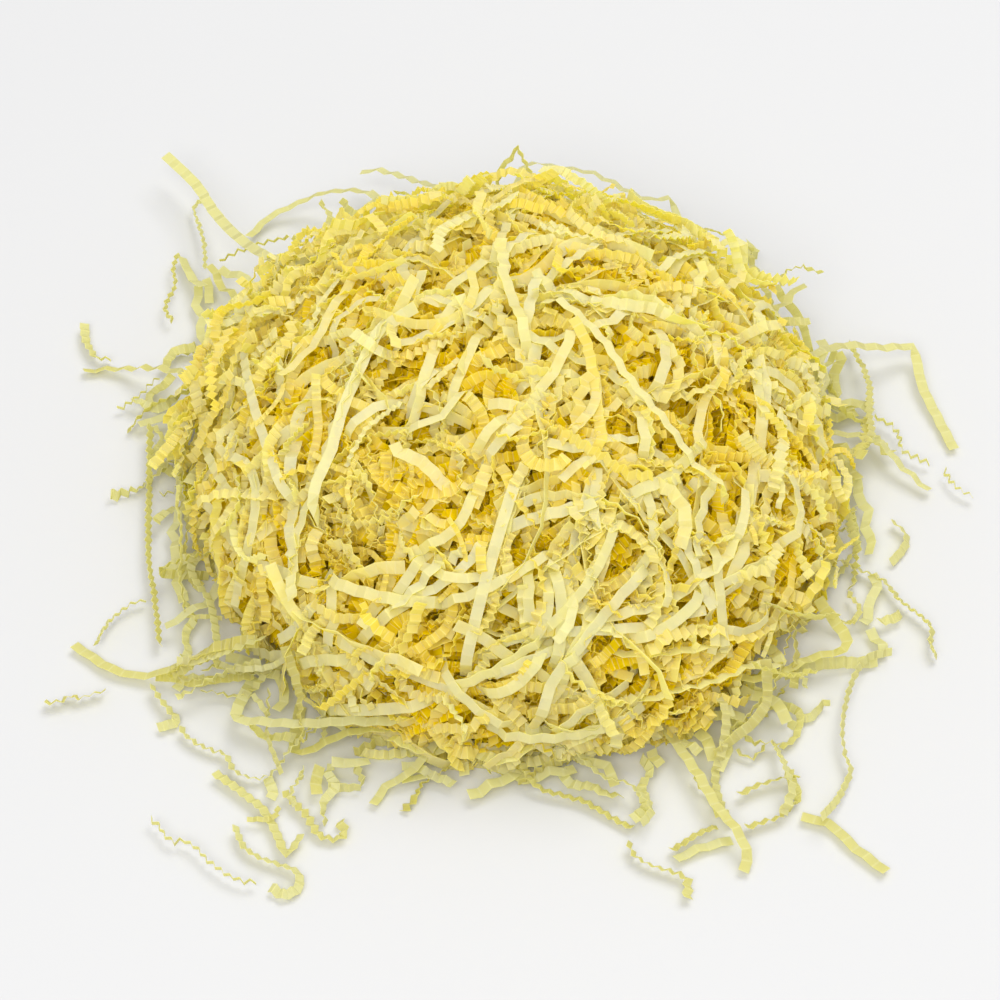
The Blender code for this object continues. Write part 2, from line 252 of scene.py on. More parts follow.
def fibre_group():
    """Shared surface of the thin paper.  Colour runs from pale to deep with the shade attribute, the
    strip's own tone plus any painted shade, and a cloudy noise, and carries a painted highlight along each
    crease, where the UV map's v is a whole number.  Roughness follows a finer, fibrous noise, and height
    holds those fibres and the creases."""
    group = bpy.data.node_groups.new("thin_paper", "ShaderNodeTree")
    ask, give = "INPUT", "OUTPUT"
    group.interface.new_socket("Pale", in_out=ask, socket_type="NodeSocketColor")
    group.interface.new_socket("Deep", in_out=ask, socket_type="NodeSocketColor")
    group.interface.new_socket("Crease", in_out=ask, socket_type="NodeSocketFloat")
    group.interface.new_socket("Colour", in_out=give, socket_type="NodeSocketColor")
    group.interface.new_socket("Roughness", in_out=give, socket_type="NodeSocketFloat")
    group.interface.new_socket("Height", in_out=give, socket_type="NodeSocketFloat")
    nodes, links = group.nodes, group.links
    given = nodes.new("NodeGroupInput")
    result = nodes.new("NodeGroupOutput")
    place = nodes.new("ShaderNodeTexCoord")
    shade = nodes.new("ShaderNodeAttribute")
    shade.attribute_name = "shade"

    cloud = nodes.new("ShaderNodeTexNoise")
    cloud.inputs["Scale"].default_value = 260.0
    cloud.inputs["Detail"].default_value = 2.0
    links.new(place.outputs["Object"], cloud.inputs["Vector"])
    fibre = nodes.new("ShaderNodeTexNoise")
    fibre.inputs["Scale"].default_value = 2400.0
    fibre.inputs["Detail"].default_value = 4.0
    fibre.inputs["Distortion"].default_value = 1.2
    links.new(place.outputs["Object"], fibre.inputs["Vector"])

    along = nodes.new("ShaderNodeUVMap")
    along.uv_map = "along_strip"
    split = nodes.new("ShaderNodeSeparateXYZ")
    links.new(along.outputs["UV"], split.inputs["Vector"])
    to_fold = nodes.new("ShaderNodeMath")
    to_fold.operation = "PINGPONG"
    to_fold.inputs[1].default_value = 0.5
    links.new(split.outputs["Y"], to_fold.inputs[0])
    crease = nodes.new("ShaderNodeMapRange")
    crease.interpolation_type = "SMOOTHSTEP"
    crease.inputs["From Min"].default_value = 0.14
    crease.inputs["From Max"].default_value = 0.0
    links.new(to_fold.outputs[0], crease.inputs["Value"])
    # The crease mask times the strength of the painted crease highlight.
    painted_crease_highlight = nodes.new("ShaderNodeMath")
    painted_crease_highlight.operation = "MULTIPLY"
    links.new(crease.outputs["Result"], painted_crease_highlight.inputs[0])
    links.new(given.outputs["Crease"], painted_crease_highlight.inputs[1])

    depth = nodes.new("ShaderNodeMath")
    depth.operation = "MULTIPLY_ADD"
    depth.inputs[1].default_value = 0.5
    links.new(cloud.outputs["Fac"], depth.inputs[0])
    links.new(shade.outputs["Fac"], depth.inputs[2])
    settle = nodes.new("ShaderNodeMapRange")
    settle.inputs["From Min"].default_value = 0.2
    settle.inputs["From Max"].default_value = 1.15
    links.new(depth.outputs[0], settle.inputs["Value"])
    blend = nodes.new("ShaderNodeMix")
    blend.data_type = "RGBA"
    links.new(settle.outputs["Result"], blend.inputs["Factor"])
    links.new(given.outputs["Pale"], blend.inputs["A"])
    links.new(given.outputs["Deep"], blend.inputs["B"])
    # Painted highlight: the colour is lightened towards pale cream along each crease.
    lighten = nodes.new("ShaderNodeMix")
    lighten.data_type = "RGBA"
    lighten.inputs["B"].default_value = (0.95, 0.95, 0.86, 1.0)
    links.new(painted_crease_highlight.outputs[0], lighten.inputs["Factor"])
    links.new(blend.outputs["Result"], lighten.inputs["A"])
    links.new(lighten.outputs["Result"], result.inputs["Colour"])

    rough = nodes.new("ShaderNodeMapRange")
    rough.inputs["To Min"].default_value = 0.52
    rough.inputs["To Max"].default_value = 0.78
    links.new(fibre.outputs["Fac"], rough.inputs["Value"])
    links.new(rough.outputs["Result"], result.inputs["Roughness"])
    height = nodes.new("ShaderNodeMath")
    height.operation = "MULTIPLY_ADD"
    height.inputs[1].default_value = 0.6
    links.new(painted_crease_highlight.outputs[0], height.inputs[0])
    links.new(fibre.outputs["Fac"], height.inputs[2])
    links.new(height.outputs[0], result.inputs["Height"])
    return group


thin_paper = fibre_group()
LIGHT_THROUGH = 0.69


def paper_material(name, pale, deep, crease, glow=(0.972, 0.912, 0.010, 1.0)):
    """Matt thin paper: the shared fibre group on the surface, with a share of the light let
    through the sheet."""
    material = bpy.data.materials.new(name)
    material.use_nodes = True
    nodes, links = material.node_tree.nodes, material.node_tree.links
    shader = nodes["Principled BSDF"]
    surface = nodes.new("ShaderNodeGroup")
    surface.node_tree = thin_paper
    surface.inputs["Pale"].default_value = pale
    surface.inputs["Deep"].default_value = deep
    surface.inputs["Crease"].default_value = crease
    links.new(surface.outputs["Colour"], shader.inputs["Base Color"])
    links.new(surface.outputs["Roughness"], shader.inputs["Roughness"])
    bump = nodes.new("ShaderNodeBump")
    bump.inputs["Strength"].default_value = 0.25
    bump.inputs["Distance"].default_value = 0.00005
    links.new(surface.outputs["Height"], bump.inputs["Height"])
    links.new(bump.outputs["Normal"], shader.inputs["Normal"])
    shader.inputs["Specular IOR Level"].default_value = 0.12
    through = nodes.new("ShaderNodeBsdfTranslucent")
    through.inputs["Color"].default_value = glow
    share = nodes.new("ShaderNodeMixShader")
    share.inputs["Fac"].default_value = LIGHT_THROUGH
    links.new(shader.outputs["BSDF"], share.inputs[1])
    links.new(through.outputs["BSDF"], share.inputs[2])
    links.new(share.outputs["Shader"], nodes["Material Output"].inputs["Surface"])
    return material


# Strength of the painted highlight along each crease.
CREASE_HIGHLIGHT = 0.5
# The yellow paper: its pale end is the paper's own colour; its deep end, a saturated orange, is partly the
# strips' own darker tone and partly painted shade deep in the heap.
tangle_paper = paper_material("yellow_paper", (0.885, 0.945, 0.90, 1.0), (0.995, 0.765, 0.001, 1.0),
                              CREASE_HIGHLIGHT)

# How unlike each other the facets, the folds, the kinks and the strips are.  Some kinks are sharp
# bends, and a strip twists as it bends.  A share of the finely crimped strips are slivers.
FACET_LENGTHS = (0.55, 1.45)
FOLD_HEIGHTS = (0.6, 1.3)
KINK_SPREAD = 0.12
SHARP_SHARE = 0.05
SHARP_SPREAD = 0.7
TWIST = 0.6
SKEW_SPREAD = 0.45
STRIP_WIDTH = 3.0 * MM
WIDTHS = (0.66, 0.95)
SLIVER_SHARE = 0.18
SLIVER_WIDTH = 0.5
FINE_FACET = 2.0 * MM


def crimped_strips(chance, count, stations, facet_length, slope_range, path_maker, lean_spread):
    """Corners and middle lines of one kind of strip.  Its facets are facet_length long and slope
    to and fro by an angle from slope_range, so that each step forward is a facet's length times
    the cosine and each fold is as deep as its sine.  The paper leans by an angle that changes
    evenly along the strip and jumps with its kinks."""
    slope = np.radians(chance.uniform(*slope_range, count))
    facet = facet_length * chance.uniform(*FACET_LENGTHS, (count, stations))
    kink = chance.normal(0.0, KINK_SPREAD, (count, stations))
    sharp = chance.random((count, stations)) < SHARP_SHARE
    kink += np.where(sharp, chance.normal(0.0, SHARP_SPREAD, kink.shape), 0)
    middle = path_maker(facet * np.cos(slope)[:, None], kink)
    fold = facet * np.sin(slope)[:, None] / 2 * np.where(np.arange(stations) % 2, 1.0, -1.0)
    fold = fold * chance.uniform(*FOLD_HEIGHTS, fold.shape)
    skew = chance.normal(0.0, SKEW_SPREAD, count)
    along = np.linspace(0.0, 1.0, stations)
    lean = chance.normal(0.0, lean_spread, count)[:, None]
    lean = lean + chance.normal(0.0, 1.0, count)[:, None] * along
    lean = lean + np.cumsum(kink, axis=1) * TWIST
    width = STRIP_WIDTH * chance.uniform(*WIDTHS, count)
    if facet_length < FINE_FACET:
        width = width * np.where(chance.random(count) < SLIVER_SHARE, SLIVER_WIDTH, 1.0)
    corners = strip_corners(middle, heap_normal(middle), lean, fold, skew, width, PAPER_THICKNESS)
    corners[..., 2] = np.maximum(corners[..., 2], LOWEST)
    return middle, corners


# The depth below the heap's surface at which the painted shade is full.
DEEP_DEPTH = 5.4 * MM
HOLLOW_SHARE = 0.8


def tone_and_painted_depth_shade(chance, middle, own_range):
    """Shade of each station: the strip's own tone, plus painted shade that grows the deeper it lies under
    the heap's hollowed surface, by a smooth step from none at the surface to full at DEEP_DEPTH."""
    buried = (1.0 - heap_level(middle)) * np.linalg.norm(middle - HEAP_CENTRE, axis=-1)
    buried = buried - surface_dip(middle) * HOLLOW_SHARE
    step = np.clip(buried / DEEP_DEPTH, 0.0, 1.0)
    own = chance.uniform(*own_range, len(middle))[:, None]
    return np.clip(own + step * step * (3.0 - 2.0 * step), 0.0, 1.0)


# Of each kind: how many there are, the stations along one, the length of a facet, the range of slopes in
# degrees, the spread of lean in radians, the rate of turning in radians a metre, the sway in and out, the
# range of depths in millimetres, how much they crowd towards the surface, 1 being not at all, and the
# range of their own shades: random tone, set deeper for the tightly crimped kinds partly as painted shade.
KINDS = {
    "crimped": {"count": 2500, "stations": 42, "facet": 1.32 * MM, "slopes": (28.0, 48.0),
                "lean": 1.45, "turning": 50.0, "sway": 7.0 * MM, "depths": (0.5, 14.0),
                "crowding": 1.0, "shades": (0.05, 0.65)},
    "waved": {"count": 900, "stations": 27, "facet": 2.1 * MM, "slopes": (14.0, 32.0),
              "lean": 0.9, "turning": 30.0, "sway": 6.0 * MM, "depths": (0.6, 19.0),
              "crowding": 1.0, "shades": (0.0, 0.5)},
    "relaxed": {"count": 400, "stations": 19, "facet": 3.2 * MM, "slopes": (4.0, 13.0),
                "lean": 0.5, "turning": 14.0, "sway": 3.0 * MM, "depths": (0.3, 19.0),
                "crowding": 1.15, "shades": (0.0, 0.25)},
}

# Of each layer: its lowest and highest height.  A piece holds at most PIECE_STRIPS of its strips.
LAYERS = {"tangle_lower": (-1.0, 17.0 * MM), "tangle_middle": (17.0 * MM, 34.0 * MM),
          "tangle_upper": (34.0 * MM, 1.0)}
PIECE_STRIPS = 300
chance = np.random.default_rng(7)
for kind, traits in KINDS.items():
    shallow, deepest = traits["depths"]
    crowded = chance.random(traits["count"]) ** traits["crowding"]
    depth = (shallow + (deepest - shallow) * crowded) * MM

    def in_the_heap(step, kink):
        """Paths of this kind, at their own depths all over the heap."""
        return heap_paths(chance, step, depth, kink, traits["turning"], traits["sway"])

    middle, corners = crimped_strips(chance, traits["count"], traits["stations"], traits["facet"],
                                     traits["slopes"], in_the_heap, traits["lean"])
    shade = tone_and_painted_depth_shade(chance, middle, traits["shades"])
    mean_height = middle[..., 2].mean(axis=1)
    for layer, (bottom, top) in LAYERS.items():
        inside = np.flatnonzero((mean_height >= bottom) & (mean_height < top))
        handfuls = max(1, math.ceil(len(inside) / PIECE_STRIPS))
        for number, members in enumerate(np.array_split(inside, handfuls), start=1):
            name = f"{layer}_{kind}_{number}"
            mesh = ribbon_mesh(name, corners[members], shade[members])
            piece = place_piece(name, mesh, tangle_paper)
            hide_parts(layer)


# --- The shaggy skirt -------------------------------------------------------------------------
# Crimped strips of the same yellow paper that spring out of the heap's surface: round its foot on
# the left, up its back left and, as loose loops, along its back edge.

# Of each: its middle and half its width as angles about the heap in degrees, the count of strips,
# their range of heights as shares of the heap's, and how far out of the surface, in millimetres.
SKIRT = {"left": ((162.0, 22.0), 50, (0.02, 0.26), (0.5, 7.0)),
         "back_left": ((136.0, 24.0), 56, (0.03, 0.50), (0.5, 6.0)),
         "back": ((84.0, 40.0), 40, (0.35, 0.80), (0.5, 4.5))}
LOOSE_FACET = 1.35 * MM
LOOSE_SLOPES = (22.0, 44.0)
SKIRT_STATIONS = 32
SKIRT_LEAN = 1.2
SKIRT_TURNING = 45.0
SKIRT_SWAY = 8.0 * MM
SKIRT_SPRINGY = 0.85
SKIRT_SHADES = (0.0, 0.6)
chance = np.random.default_rng(83)
for place, (around, count, rises, out_range) in SKIRT.items():
    depth = -chance.uniform(*out_range, count) * MM

    def out_of_the_heap(step, kink):
        """Paths of this stretch of the skirt, outside the heap's surface."""
        return heap_paths(chance, step, depth, kink, SKIRT_TURNING, SKIRT_SWAY, around, rises,
                          SKIRT_SPRINGY)

    middle, corners = crimped_strips(chance, count, SKIRT_STATIONS, LOOSE_FACET, LOOSE_SLOPES,
                                     out_of_the_heap, SKIRT_LEAN)
    shade = tone_and_painted_depth_shade(chance, middle, SKIRT_SHADES)
    mesh = ribbon_mesh(f"skirt_{place}", corners, shade)
    place_piece(f"skirt_{place}", mesh, tangle_paper)


# --- Loose strips -----------------------------------------------------------------------------
# Strips that have worked free of the tangle: relaxed ones over the crown, and crimped ones that
# trail on the floor, of the same paper.  Each keeps an end tucked into the heap or lies by itself.

# Of each: how far its paper leans over at its start and at its end, in degrees from lying flat, and
# the places that it passes through, in millimetres.
STRIPS = {
    # Strips lying over the crown of the heap.
    "strip_crown_1": (10, 25, [(8, 10, 60.5), (17, 1, 59.5), (23, -9, 57.5), (28, -15, 55),
        (34, -22, 51.5), (38, -26, 47), (44, -28, 42.5)]),
    "strip_crown_2": (10, 10, [(1, 3, 57), (10, -2, 56.5), (19, -6, 54.5), (26, -11, 52)]),
    "strip_crown_3": (20, 5, [(-4, 25, 55.5), (-1, 12, 57.5), (1, 2, 61)]),
    "strip_crown_4": (15, 5, [(-29, 9, 54), (-37, -10, 50.5), (-40, -21, 47), (-44, -31, 41.5)]),
    "strip_crown_5": (0, 10, [(-27, -54, 33.5), (-21, -52, 38.5), (-17, -48, 42)]),
    "strip_crown_6": (20, 10, [(23, -61, 27), (31, -59, 25), (40, -55, 22)]),
    "strip_crown_7": (30, 20, [(26, -66, 17.5), (34, -63, 17.5), (42, -59, 15), (50, -53, 12.5),
        (57, -50, 9)]),
    "strip_crown_8": (5, 5, [(34, 34, 47.5), (45, 54, 30.5), (52, 55, 32)]),
    # Strips that reach out at the back left.
    "strip_back_left_1": (0, 15, [(-46, 51, 30), (-53, 54, 26), (-60, 63, 20), (-67, 73, 16),
        (-73, 84, 13), (-78, 95, 11), (-86, 106, 10)]),
    "strip_back_left_2": (80, 60, [(-77, 98, 2.5), (-79, 95, 2.5), (-76, 84, 3), (-75, 74, 4)]),
    "strip_back_left_3": (70, 80, [(-82, 79, 3), (-83, 74, 3), (-82, 69, 3), (-84, 62, 3), (-82, 57, 3)]),
    "strip_back_left_4": (40, 10, [(-81, 79, 2), (-78, 71, 3), (-75, 66, 6)]),
    "strip_back_left_5": (10, 25, [(-65, 85, 3), (-61, 91, 3), (-56, 94, 4), (-51, 95, 6), (-47, 94, 9),
        (-39, 91, 13), (-33, 85, 16), (-32, 80, 16)]),
    "strip_back_left_6": (75, 60, [(-71, 71, 9), (-67, 73, 10), (-61, 75, 11), (-54, 75, 13),
        (-50, 69, 16)]),
    # Strips along the back edge.
    "strip_back_1": (20, 10, [(-38, 102, 8), (-34, 101, 10), (-26, 94, 14), (-19, 86, 19), (-13, 78, 24)]),
    "strip_back_2": (30, 20, [(1, 88, 22), (4, 93, 20), (10, 95, 17), (18, 95, 15), (24, 92, 14),
        (31, 88, 13), (38, 90, 10)]),
    "strip_back_3": (80, 60, [(0, 84, 34), (-1, 83, 32), (-4, 84, 26)]),
    # Strips along the left edge.
    "strip_left_1": (20, 60, [(-103, 57, 2), (-102, 51, 2), (-99, 46, 2), (-96, 46, 2)]),
    "strip_left_2": (30, 10, [(-102, 42, 1.5), (-98, 43, 1.5), (-92, 42, 3), (-82, 37, 8)]),
    "strip_left_3": (80, 60, [(-93, 30, 2), (-88, 34, 3), (-84, 38, 4)]),
    "strip_left_4": (60, 70, [(-85, 23, 4), (-84, 2, 3), (-83, -15, 3), (-81, -26, 3), (-79, -40, 3)]),
    # Strips that reach out to the right.
    "strip_right_1": (10, 0, [(70, 37, 14), (77, 42, 11), (86, 44, 8), (93, 47, 5), (94, 44, 4),
        (95, 36, 3), (98, 27, 2), (101, 18, 1.5)]),
    "strip_right_2": (50, 20, [(79, 50, 3), (82, 35, 6), (81, 24, 8), (80, 13, 10)]),
    "strip_right_3": (85, 80, [(83, 27, 3), (88, 23, 2.5), (89, 17, 2.5), (95, 13, 2.5)]),
    "strip_right_4": (80, 60, [(98, 11, 2.5), (100, 6, 2.5), (104, 3, 2.5)]),
    "strip_right_5": (15, 30, [(82, 17, 6), (88, 11, 4), (94, 5, 2)]),
    "strip_right_6": (50, 50, [(85, -4, 2), (88, -8, 2), (87, -12, 2), (84, -16, 2)]),
    # Strips on the floor at the front left.
    "strip_front_left_1": (15, 20, [(-98, -39, 1.5), (-93, -43, 1.5), (-89, -46, 2), (-82, -48, 2),
        (-74, -48, 6)]),
    "strip_front_left_2": (70, 60, [(-93, -40, 3), (-91, -34, 2.5), (-87, -29, 2.5), (-83, -27, 2.5)]),
    "strip_front_left_3": (40, 60, [(-103, -55, 2), (-100, -55, 2), (-97, -53, 2), (-96, -54, 2),
        (-90, -52, 2)]),
    "strip_front_left_4": (60, 20, [(-80, -51, 2.5), (-77, -56, 2.5), (-74, -60, 2), (-78, -62, 2)]),
    "strip_front_left_5": (50, 50, [(-73, -62, 2), (-71, -65, 2), (-66, -68, 2), (-63, -69, 2),
        (-61, -73, 2), (-58, -75, 2), (-54, -75, 2), (-51, -72, 3), (-49, -70, 5)]),
    "strip_front_left_6": (20, 40, [(-65, -74, 2), (-59, -79, 2), (-54, -84, 2), (-51, -90, 2),
        (-49, -95, 2), (-46, -90, 2)]),
    "strip_front_left_7": (30, 30, [(-50, -79, 2), (-45, -85, 2), (-42, -90, 1.5), (-37, -90, 1.5),
        (-38, -86, 1.5)]),
    "strip_front_left_8": (50, 30, [(-60, -88, 2), (-58, -93, 2), (-54, -96, 2), (-47, -99, 2),
        (-46, -103, 2), (-49, -105, 2), (-52, -103, 2)]),
    "strip_front_left_9": (85, 80, [(-78, -86, 2.5), (-73, -92, 2.5), (-70, -92, 2.5), (-63, -99, 2.5),
        (-58, -102, 2.5), (-55, -102, 2.5)]),
    "strip_front_left_10": (30, 50, [(-73, -19, 5), (-68, -31, 6), (-66, -42, 6), (-65, -48, 5)]),
    "strip_front_left_11": (60, 60, [(-80, -22, 6), (-73, -20, 9), (-66, -20, 10), (-65, -21, 9)]),
    "strip_front_left_12": (15, 0, [(-61, -61, 5), (-55, -64, 7), (-46, -66, 9), (-36, -66, 10),
        (-26, -67, 12)]),
    "strip_front_left_13": (20, 20, [(-48, -69, 3), (-42, -68, 4.5), (-36, -66, 6), (-22, -65, 8)]),
    # Strips on the floor at the front.
    "strip_front_1": (10, 10, [(-31, -82, 1.5), (-28, -77, 2), (-23, -75, 4)]),
    "strip_front_2": (30, 30, [(2, -76, 4), (6, -79, 2.5), (13, -81, 2), (18, -84, 1.5), (24, -88, 1.5)]),
    "strip_front_3": (30, 60, [(17, -77, 6), (23, -79, 5.5), (28, -85, 5), (26, -89, 5)]),
    "strip_front_4": (60, 30, [(23, -92, 2), (25, -96, 2), (31, -99, 2), (35, -101, 2), (35, -106, 2)]),
    # Strips on the floor at the front right.
    "strip_front_right_1": (5, 20, [(38, -76, 5), (42, -85, 5), (46, -91, 5), (48, -96, 3),
        (47, -99, 1.5)]),
    "strip_front_right_2": (20, 40, [(44, -62, 10), (44, -69, 7), (42, -75, 2), (43, -82, 2),
        (45, -87, 2)]),
    "strip_front_right_3": (20, 10, [(33, -96, 1.5), (38, -93, 1.5), (45, -91, 1.5)]),
    "strip_front_right_4": (30, 30, [(32, -94, 2), (39, -89, 2), (42, -88, 2)]),
    "strip_front_right_5": (30, 50, [(48, -88, 2), (51, -87, 2), (56, -85, 2)]),
    "strip_front_right_6": (60, 40, [(55, -66, 2), (57, -75, 5.5), (58, -81, 5.5), (56, -85, 2.5)]),
    "strip_front_right_7": (30, 60, [(47, -80, 2.5), (50, -78, 2.5), (55, -76, 2.5), (60, -75, 2.5)]),
    "strip_front_right_8": (70, 60, [(82, -42, 3), (76, -45, 4), (72, -53, 4), (70, -62, 4), (70, -69, 3),
        (71, -74, 3), (68, -81, 3), (64, -88, 6)]),
    "strip_front_right_9": (10, 15, [(60, -85, 1.5), (66, -87, 1.5), (70, -92, 1.5), (73, -95, 1.5),
        (77, -99, 1.5)]),
    "strip_front_right_10": (40, 70, [(81, -21, 2.5), (85, -27, 2.5), (91, -34, 2.5), (91, -40, 2.5),
        (92, -43, 2.5)]),
    "strip_front_right_11": (20, 20, [(52, -54, 9), (64, -46, 6), (72, -44, 8)]),
}

# An end within TUCK_REACH of the heap's radius goes on into the heap by TUCK_LENGTH.
TUCK_LENGTH = 14.0 * MM
TUCK_REACH = 1.22
TUCK_ONWARD = 0.6

# Of a strip that has relaxed, of one that has kept its crimps and of a thin sliver: the length of
# its facets, the range of their slopes in degrees, and its width.
RELAXED = (2.6 * MM, (5.0, 18.0), 2.4 * MM)
CRIMPED = (1.3 * MM, (24.0, 36.0), 2.2 * MM)
SLIVER = (1.4 * MM, (26.0, 42.0), 1.2 * MM)

# A strip that lies nearly flat has relaxed, and one that stands nearly on edge is a sliver.
RELAXED_LEAN = 25.0
SLIVER_LEAN = 66.0
# A paler copy of the yellow paper for the strips that lie on top of the heap: painted light.
crown_paper = paper_material("crown_paper", (0.895, 0.945, 0.92, 1.0), (0.89, 0.90, 0.60, 1.0), CREASE_HIGHLIGHT)
# A darker, duller copy of the yellow paper for the strips on and near the floor: painted shade.
floor_paper_painted_shade = paper_material("floor_paper_painted_shade", (0.84, 0.85, 0.72, 1.0), (0.73, 0.67, 0.28, 1.0), CREASE_HIGHLIGHT,
                             (0.875, 0.845, 0.32, 1.0))
SPAN_SAMPLES = 12


def smooth_path(points, stations):
    """Even stations along a smooth curve through the given places: between two of them it is the
    cubic (Catmull-Rom) whose slope at each is half the way from the one before to the one after."""
    padded = np.vstack([2 * points[0] - points[1], points, 2 * points[-1] - points[-2]])
    share = np.linspace(0.0, 1.0, SPAN_SAMPLES, endpoint=False)[:, None]
    pieces = []
    for index in range(len(points) - 1):
        before, start, end, after = padded[index:index + 4]
        pieces.append(0.5 * (2 * start + (end - before) * share
                             + (2 * before - 5 * start + 4 * end - after) * share ** 2
                             + (3 * start - before - 3 * end + after) * share ** 3))
    curve = np.vstack(pieces + [points[-1:]])
    steps = np.linalg.norm(np.diff(curve, axis=0), axis=1)
    travelled = np.concatenate([[0.0], np.cumsum(steps)])
    wanted = np.linspace(0.0, travelled[-1], stations)
    return np.stack([np.interp(wanted, travelled, curve[:, axis]) for axis in range(3)], axis=1)


def tucked_in(points):
    """The route carried on into the heap at each end that lies close to it, in a direction between
    its own and straight inwards."""
    for flip in (False, True):
        route = points[::-1] if flip else points
        end, before = route[-1], route[-2]
        if heap_level(end[None])[0] < TUCK_REACH:
            inward = -heap_normal(end[None])[0]
            onward = unit(unit(end - before) * TUCK_ONWARD + inward)
            route = np.vstack([route, end + onward * TUCK_LENGTH])
            route[:, 2] = np.maximum(route[:, 2], FLOOR_CLEARANCE)
        points = route[::-1] if flip else route
    return points


# How unlike each other the folds of one strip are, and the strips' widths, skews and own shades.
LAID_FOLDS = (0.5, 1.5)
LAID_WIDTHS = (0.85, 1.08)
LAID_SKEW = 0.3
LAID_SHADES = (0.0, 0.6)


def laid_strip(chance, route, state, out, lean_start, lean_end):
    """Corners and shade of one strip along a route: even stations a facet apart, folded to and fro
    by half a facet's rise, with the paper's face turned from the outward direction by a lean that
    goes evenly from its first angle to its last, in radians."""
    facet, slope_range, width = state
    slope = math.radians(chance.uniform(*slope_range))
    length = np.linalg.norm(np.diff(route, axis=0), axis=1).sum()
    stations = max(4, int(length / (facet * math.cos(slope))) + 1)
    middle = smooth_path(route, stations)[None]
    size = facet * math.sin(slope) / 2 * chance.uniform(*LAID_FOLDS, stations)
    fold = (np.where(np.arange(stations) % 2, 1.0, -1.0) * size)[None]
    lean = np.linspace(lean_start, lean_end, stations)[None]
    width = width * chance.uniform(*LAID_WIDTHS, 1)
    skew = chance.normal(0.0, LAID_SKEW, 1)
    corners = strip_corners(middle, out(middle), lean, fold, skew, width, PAPER_THICKNESS)
    corners[..., 2] = np.maximum(corners[..., 2], LOWEST)
    return corners, np.full(middle.shape[:2], chance.uniform(*LAID_SHADES))


def upward(places):
    """Straight up at every place."""
    return np.broadcast_to([0.0, 0.0, 1.0], places.shape)


for number, (name, (lean_start, lean_end, places)) in enumerate(STRIPS.items()):
    chance = np.random.default_rng(100 + number)
    route = tucked_in(np.array(places, dtype=float) * MM)
    lean = (lean_start + lean_end) / 2
    state = RELAXED if lean <= RELAXED_LEAN else SLIVER if lean >= SLIVER_LEAN else CRIMPED
    corners, shade = laid_strip(chance, route, state, upward, math.radians(lean_start),
                                math.radians(lean_end))
    paper = crown_paper if "crown" in name else floor_paper_painted_shade
    piece = place_piece(f"{name}_paper", ribbon_mesh(f"{name}_paper", corners, shade), paper)
    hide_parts(name)


# --- Lying strips -----------------------------------------------------------------------------
# Relaxed strips that lie over the tangle, in a paler copy of the yellow paper that is painted light on
# these top strips: long gentle slants over the left and the front, and the other slant on the right.  Both
# ends dip back into the tangle, which holds them.

# Of each: where it starts and ends over the floor and how far it bows to the left in between, in
# millimetres.  Its height is that of the heap's surface there.
LYING = {
    "left": [
        (-63, 43, -51, -24, -3), (-29, 10, -44, -29, -1), (-72, 15, -60, -22, -2),
        (-64, -7, -62, -36, 6), (-45, -29, -49, -38, 0), (-70, -8, -61, -28, -1),
        (-71, 35, -63, 43, 1), (-54, 15, -52, 1, 0), (-57, -34, -46, -43, 0),
        (-40, -48, -41, -55, 1), (-47, -54, -38, -58, 0), (-38, -56, -27, -63, 0),
        (-52, -48, -44, -48, -1)],
    "crown": [
        (-6, 18, -26, 3, 3), (-9, 2, -14, -12, 0), (-15, 18, -7, 27, 0), (-23, 17, -21, 25, 0),
        (-19, -6, -22, -10, 0), (-13, -14, -22, -20, 2), (-30, -13, -36, -16, 0),
        (-41, 13, -32, 20, 2), (-18, 35, -13, 39, 0), (7, 21, 36, 56, 1), (36, 36, 52, 56, 3),
        (-3, 30, 3, 38, 0), (2, 8, 4, 20, 0), (2, -10, 12, -8, 1), (-5, -16, 4, -18, 0),
        (-7, -24, -4, -21, 0), (-5, -27, -1, -23, 0), (10, 17, 18, 11, 0), (-5, 30, 1, 58, 0),
        (-3, 47, 9, 69, -1)],
    "right": [
        (65, 46, 55, 19, -5), (53, 8, 54, -5, -1), (55, 9, 68, -1, 5), (6, -25, 17, -25, -1),
        (26, -17, 27, -23, 0), (26, -33, 36, -24, -1), (42, -26, 38, -42, -1),
        (32, -34, 41, -50, 0), (49, -27, 48, -34, 0), (42, -40, 44, -54, 0),
        (45, -51, 54, -44, -1), (45, -44, 55, -35, 0), (38, -50, 26, -59, 1),
        (27, -33, 26, -47, 2), (41, 11, 48, 2, 2), (31, 7, 31, -5, 1), (59, -16, 60, -28, 2)],
    "front": [
        (20, -42, 6, -60, 2), (26, -49, 11, -64, 0), (-4, -66, 7, -63, 0), (27, -65, 8, -72, 2),
        (22, -66, 9, -72, 0), (25, -68, -3, -73, 2), (8, -52, 8, -64, 1), (4, -61, 6, -54, -1),
        (5, -71, 12, -64, 1), (-39, -47, -20, -55, -1), (-33, -57, -27, -55, 0),
        (-23, -53, -8, -46, -2), (-1, -35, -11, -64, 0), (4, -49, -14, -55, 1),
        (-13, -67, 4, -62, -1), (4, -65, -5, -69, 1), (-41, -61, -22, -68, -1),
        (-15, -66, -3, -72, -1), (-3, -43, 0, -34, 0), (-1, -42, 16, -37, 0), (2, -53, 2, -58, 0),
        (17, -58, 9, -67, -1), (-26, -52, -21, -47, 0), (-10, -37, -19, -45, 2)],
}

# How high they lie over the surface, the spread of their lean in radians, and how far their ends
# run on and dip.
LYING_LIFT = (-0.4 * MM, 2.2 * MM)
LYING_LEAN = 0.35
LYING_STATIONS = 9
END_DIP = 5.5 * MM


